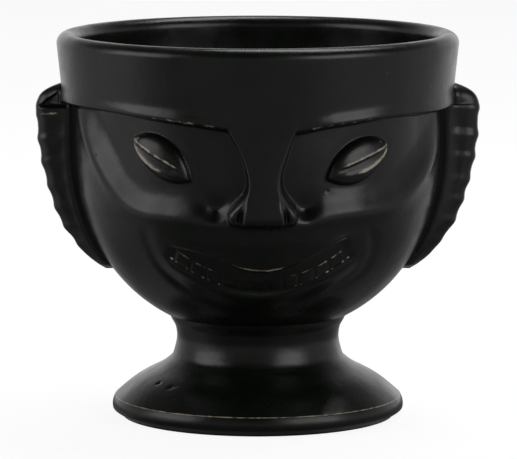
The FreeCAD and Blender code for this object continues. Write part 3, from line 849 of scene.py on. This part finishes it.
def glaze_material():
    """Satin black glaze: faint mottling, a fine skin, and edges rubbed down to pale gold, which also carry
    painted highlights.
    """
    material = bpy.data.materials.new("satin_black_glaze")
    material.use_nodes = True
    nodes, links = material.node_tree.nodes, material.node_tree.links
    shader = nodes["Principled BSDF"]
    place = nodes.new("ShaderNodeTexCoord")

    # worn edges with painted highlights on them: the wear layer, broken up by noise
    worn_and_highlight = nodes.new("ShaderNodeAttribute")
    worn_and_highlight.attribute_name = "wear_and_highlight"
    broken = nodes.new("ShaderNodeMath")
    broken.operation = "ADD"
    links.new(worn_and_highlight.outputs["Fac"], broken.inputs[0])
    links.new(add_noise(nodes, links, place, 520.0, 3.0, -0.45, 0.12), broken.inputs[1])
    share = nodes.new("ShaderNodeMapRange")
    share.interpolation_type = "SMOOTHSTEP"
    share.inputs["From Min"].default_value = 0.25
    share.inputs["From Max"].default_value = 0.85
    links.new(broken.outputs[0], share.inputs["Value"])

    mottle = nodes.new("ShaderNodeMix")
    mottle.data_type = "RGBA"
    mottle.inputs["A"].default_value = BLACK_GLAZE[0]
    mottle.inputs["B"].default_value = BLACK_GLAZE[1]
    links.new(add_noise(nodes, links, place, 90.0, 4.0, 0.0, 1.0), mottle.inputs["Factor"])
    colour = nodes.new("ShaderNodeMix")
    colour.data_type = "RGBA"
    colour.inputs["B"].default_value = WORN_AND_HIGHLIGHT_GLAZE
    links.new(share.outputs["Result"], colour.inputs["Factor"])
    links.new(mottle.outputs["Result"], colour.inputs["A"])
    links.new(colour.outputs["Result"], shader.inputs["Base Color"])

    links.new(add_noise(nodes, links, place, 140.0, 4.0, 0.23, 0.33), shader.inputs["Roughness"])

    # a slow waviness, orange peel over it, and a few pinholes
    wave = bump(nodes, links, noise_texture(nodes, links, place, 55.0, 1.0), 0.35, 0.0012)
    peel = bump(nodes, links, noise_texture(nodes, links, place, 420.0, 2.0), 0.15, 0.0003, wave)
    cells = nodes.new("ShaderNodeTexVoronoi")
    cells.inputs["Scale"].default_value = 85.0
    links.new(place.outputs["Object"], cells.inputs["Vector"])
    hole = nodes.new("ShaderNodeMapRange")
    hole.interpolation_type = "SMOOTHSTEP"
    hole.inputs["From Min"].default_value = 0.02
    hole.inputs["From Max"].default_value = 0.045
    links.new(cells.outputs["Distance"], hole.inputs["Value"])
    links.new(bump(nodes, links, hole.outputs["Result"], 0.5, 0.0002, peel), shader.inputs["Normal"])
    return material


# ---- camera, floor and light, in metres --------------------------------------------------
CAMERA_PLACE = (0.0002, -1.2, 0.2125)
CAMERA_TARGET = (0.0002, 0.0, 0.0519)
CAMERA_LENS = 301.2             # mm
LAMP_TARGET = (0, 0, 0.06)      # the middle of the mug
FLOOR_HALF = 6.0


def aim(thing, target):
    """Turns a camera or lamp to look at a point."""
    thing.rotation_euler = (Vector(target) - thing.location).to_track_quat("-Z", "Y").to_euler()


def add_camera():
    """A long lens a little above the mug, as in the photograph."""
    data = bpy.data.cameras.new("camera")
    data.sensor_width = 36.0
    data.lens = CAMERA_LENS
    data.clip_end = 20.0
    camera = bpy.data.objects.new("camera", data)
    camera.location = CAMERA_PLACE
    aim(camera, CAMERA_TARGET)
    bpy.context.scene.collection.objects.link(camera)
    bpy.context.scene.camera = camera


def add_softbox(name, location, width, height, power):
    """A soft lamp, aimed at the middle of the mug."""
    data = bpy.data.lights.new(name, "AREA")
    data.shape = "RECTANGLE"
    data.size, data.size_y = width, height
    data.energy = power
    lamp = bpy.data.objects.new(name, data)
    lamp.location = location
    aim(lamp, LAMP_TARGET)
    bpy.context.scene.collection.objects.link(lamp)


# How bright the studio is round the mug: degrees from the camera's side (right is positive), level.
STUDIO = [
    (-180, 1.0), (-160, 0.95), (-145, 0.72), (-130, 0.42), (-110, 0.36), (-92, 0.50), (-76, 0.62),
    (-60, 0.26), (-45, 0.17), (-30, 0.21), (0, 0.19), (20, 0.21), (38, 0.30), (52, 0.40), (79, 0.34),
    (98, 0.40), (114, 0.36), (130, 0.58), (145, 0.88), (160, 1.0), (180, 1.0),
]


def studio_level(nodes, links, direction):
    """The studio's brightness in a direction from the mug, by its compass angle."""
    parts = nodes.new("ShaderNodeSeparateXYZ")
    links.new(direction, parts.inputs[0])
    front = nodes.new("ShaderNodeMath")
    front.operation = "MULTIPLY"
    front.inputs[1].default_value = -1.0
    links.new(parts.outputs["Y"], front.inputs[0])
    angle = nodes.new("ShaderNodeMath")
    angle.operation = "ARCTAN2"
    links.new(parts.outputs["X"], angle.inputs[0])
    links.new(front.outputs[0], angle.inputs[1])
    turn_share = nodes.new("ShaderNodeMapRange")
    turn_share.inputs["From Min"].default_value = -math.pi
    turn_share.inputs["From Max"].default_value = math.pi
    links.new(angle.outputs[0], turn_share.inputs["Value"])
    levels = nodes.new("ShaderNodeValToRGB")
    ramp = levels.color_ramp
    while len(ramp.elements) < len(STUDIO):
        ramp.elements.new(0.5)
    for element, (degrees, level) in zip(ramp.elements, STUDIO):
        element.position = (degrees + 180) / 360
        element.color = (level, level, level, 1.0)
    links.new(turn_share.outputs["Result"], levels.inputs["Fac"])
    return levels.outputs["Color"], parts.outputs["Z"]


def add_world():
    """A white studio: bright behind the mug, dimmer beside it and in front, and dark overhead."""
    world = bpy.data.worlds.new("studio")
    bpy.context.scene.world = world
    world.use_nodes = True
    nodes, links = world.node_tree.nodes, world.node_tree.links
    room = nodes["Background"]
    way = nodes.new("ShaderNodeTexCoord")
    level, height = studio_level(nodes, links, way.outputs["Generated"])
    links.new(level, room.inputs["Color"])
    ceiling = nodes.new("ShaderNodeMapRange")
    ceiling.interpolation_type = "SMOOTHSTEP"
    ceiling.inputs["From Min"].default_value = 0.2
    ceiling.inputs["From Max"].default_value = 0.6
    ceiling.inputs["To Min"].default_value = 1.0
    ceiling.inputs["To Max"].default_value = 0.14
    links.new(height, ceiling.inputs["Value"])
    links.new(ceiling.outputs["Result"], room.inputs["Strength"])
    backdrop = nodes.new("ShaderNodeBackground")
    backdrop.inputs["Color"].default_value = (1, 1, 1, 1)
    backdrop.inputs["Strength"].default_value = 1.0
    ray = nodes.new("ShaderNodeLightPath")
    mix = nodes.new("ShaderNodeMixShader")
    links.new(ray.outputs["Is Camera Ray"], mix.inputs["Fac"])
    links.new(room.outputs[0], mix.inputs[1])
    links.new(backdrop.outputs[0], mix.inputs[2])
    links.new(mix.outputs[0], nodes["World Output"].inputs["Surface"])


def add_floor():
    """A pale sweep: the camera sees it nearly white, with the mug's soft shadow on it."""
    mesh = bpy.data.meshes.new("floor")
    half = FLOOR_HALF
    corners = [(-half, -half, 0), (half, -half, 0), (half, half, 0), (-half, half, 0)]
    mesh.from_pydata(corners, [], [(0, 1, 2, 3)])
    floor = bpy.data.objects.new("floor", mesh)
    bpy.context.scene.collection.objects.link(floor)
    material = bpy.data.materials.new("floor")
    material.use_nodes = True
    nodes, links = material.node_tree.nodes, material.node_tree.links
    nodes.remove(nodes["Principled BSDF"])
    paper = nodes.new("ShaderNodeBsdfDiffuse")
    paper.inputs["Color"].default_value = (0.8, 0.8, 0.8, 1)
    seen = nodes.new("ShaderNodeEmission")
    seen.inputs["Strength"].default_value = 1.2
    camera_mix = nodes.new("ShaderNodeMixShader")
    ray = nodes.new("ShaderNodeLightPath")
    share = nodes.new("ShaderNodeMath")
    share.operation = "MULTIPLY"
    share.inputs[1].default_value = 0.75
    links.new(ray.outputs["Is Camera Ray"], share.inputs[0])
    links.new(share.outputs[0], camera_mix.inputs["Fac"])
    links.new(paper.outputs[0], camera_mix.inputs[1])
    links.new(seen.outputs[0], camera_mix.inputs[2])
    # in the glaze the sweep glows with painted light, as bright as the studio on that side, and painted shade
    # darkens it near the mug
    place = nodes.new("ShaderNodeNewGeometry")
    level, _ = studio_level(nodes, links, place.outputs["Position"])
    painted_floor_light = nodes.new("ShaderNodeEmission")
    links.new(level, painted_floor_light.inputs["Color"])
    reach = nodes.new("ShaderNodeVectorMath")
    reach.operation = "LENGTH"
    links.new(place.outputs["Position"], reach.inputs[0])
    # painted shade: the sweep darker near the mug, standing for the mug's shadow in reflections
    painted_shade_near_mug = nodes.new("ShaderNodeMapRange")
    painted_shade_near_mug.interpolation_type = "SMOOTHSTEP"
    painted_shade_near_mug.inputs["From Min"].default_value = 0.08
    painted_shade_near_mug.inputs["From Max"].default_value = 0.27
    painted_shade_near_mug.inputs["To Min"].default_value = 0.35
    links.new(reach.outputs["Value"], painted_shade_near_mug.inputs["Value"])
    links.new(painted_shade_near_mug.outputs["Result"], painted_floor_light.inputs["Strength"])
    glossy_mix = nodes.new("ShaderNodeMixShader")
    links.new(ray.outputs["Is Glossy Ray"], glossy_mix.inputs["Fac"])
    links.new(camera_mix.outputs[0], glossy_mix.inputs[1])
    links.new(painted_floor_light.outputs[0], glossy_mix.inputs[2])
    links.new(glossy_mix.outputs[0], nodes["Material Output"].inputs["Surface"])
    mesh.materials.append(material)


glaze = glaze_material()
pieces = make_head()
pieces["pedestal_foot"] = make_foot()
pieces["left_ear"] = make_ear("left_ear", -1)
pieces["right_ear"] = make_ear("right_ear", 1)
for node, piece in pieces.items():
    piece.data.materials.append(glaze)
    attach(piece, "root")
    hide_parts(node)

add_camera()
add_floor()
add_world()
add_softbox("left_softbox", (-1.08, -0.33, 0.55), 0.95, 0.65, 2.9)
add_softbox("right_softbox", (0.88, -0.79, 0.55), 0.95, 0.65, 3.6)
add_softbox("top_softbox", (0.20, 0.35, 1.10), 0.75, 0.5, 4.6)

scene = bpy.context.scene
scene.view_settings.view_transform = "Standard"
